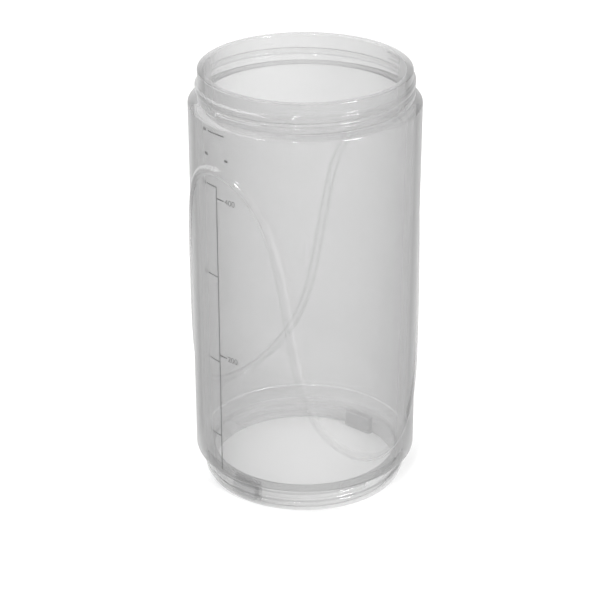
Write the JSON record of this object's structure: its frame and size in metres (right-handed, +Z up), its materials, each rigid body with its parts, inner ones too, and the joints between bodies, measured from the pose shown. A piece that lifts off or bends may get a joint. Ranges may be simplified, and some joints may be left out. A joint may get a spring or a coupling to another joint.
{
  "type": "blender jar",
  "caption": "Clear tube-shaped blender jar, open at both ends, with a threaded neck at each end, a raised wave rib and interlock magnets in the lower neck.",
  "frame": {"origin": "centre of the lower rim, where the jar stands", "axes": "+Z up along the jar's axis, towards the lid end; -Y towards the side that carries the scale"},
  "size_m": [0.0738, 0.0744, 0.14],
  "materials": {
    "clear_plastic": "clear moulded plastic, slightly smoky, glossy",
    "magnet_metal": "plated block magnet, satin",
    "cover_plastic": "clear moulded plastic plug"
  },
  "bodies": {
    "root": {"jar_body": "clear_plastic", "front_magnet": "magnet_metal", "rear_magnet": "magnet_metal", "front_magnet_cover": "cover_plastic", "rear_magnet_cover": "cover_plastic"}
  },
  "joints": []
}
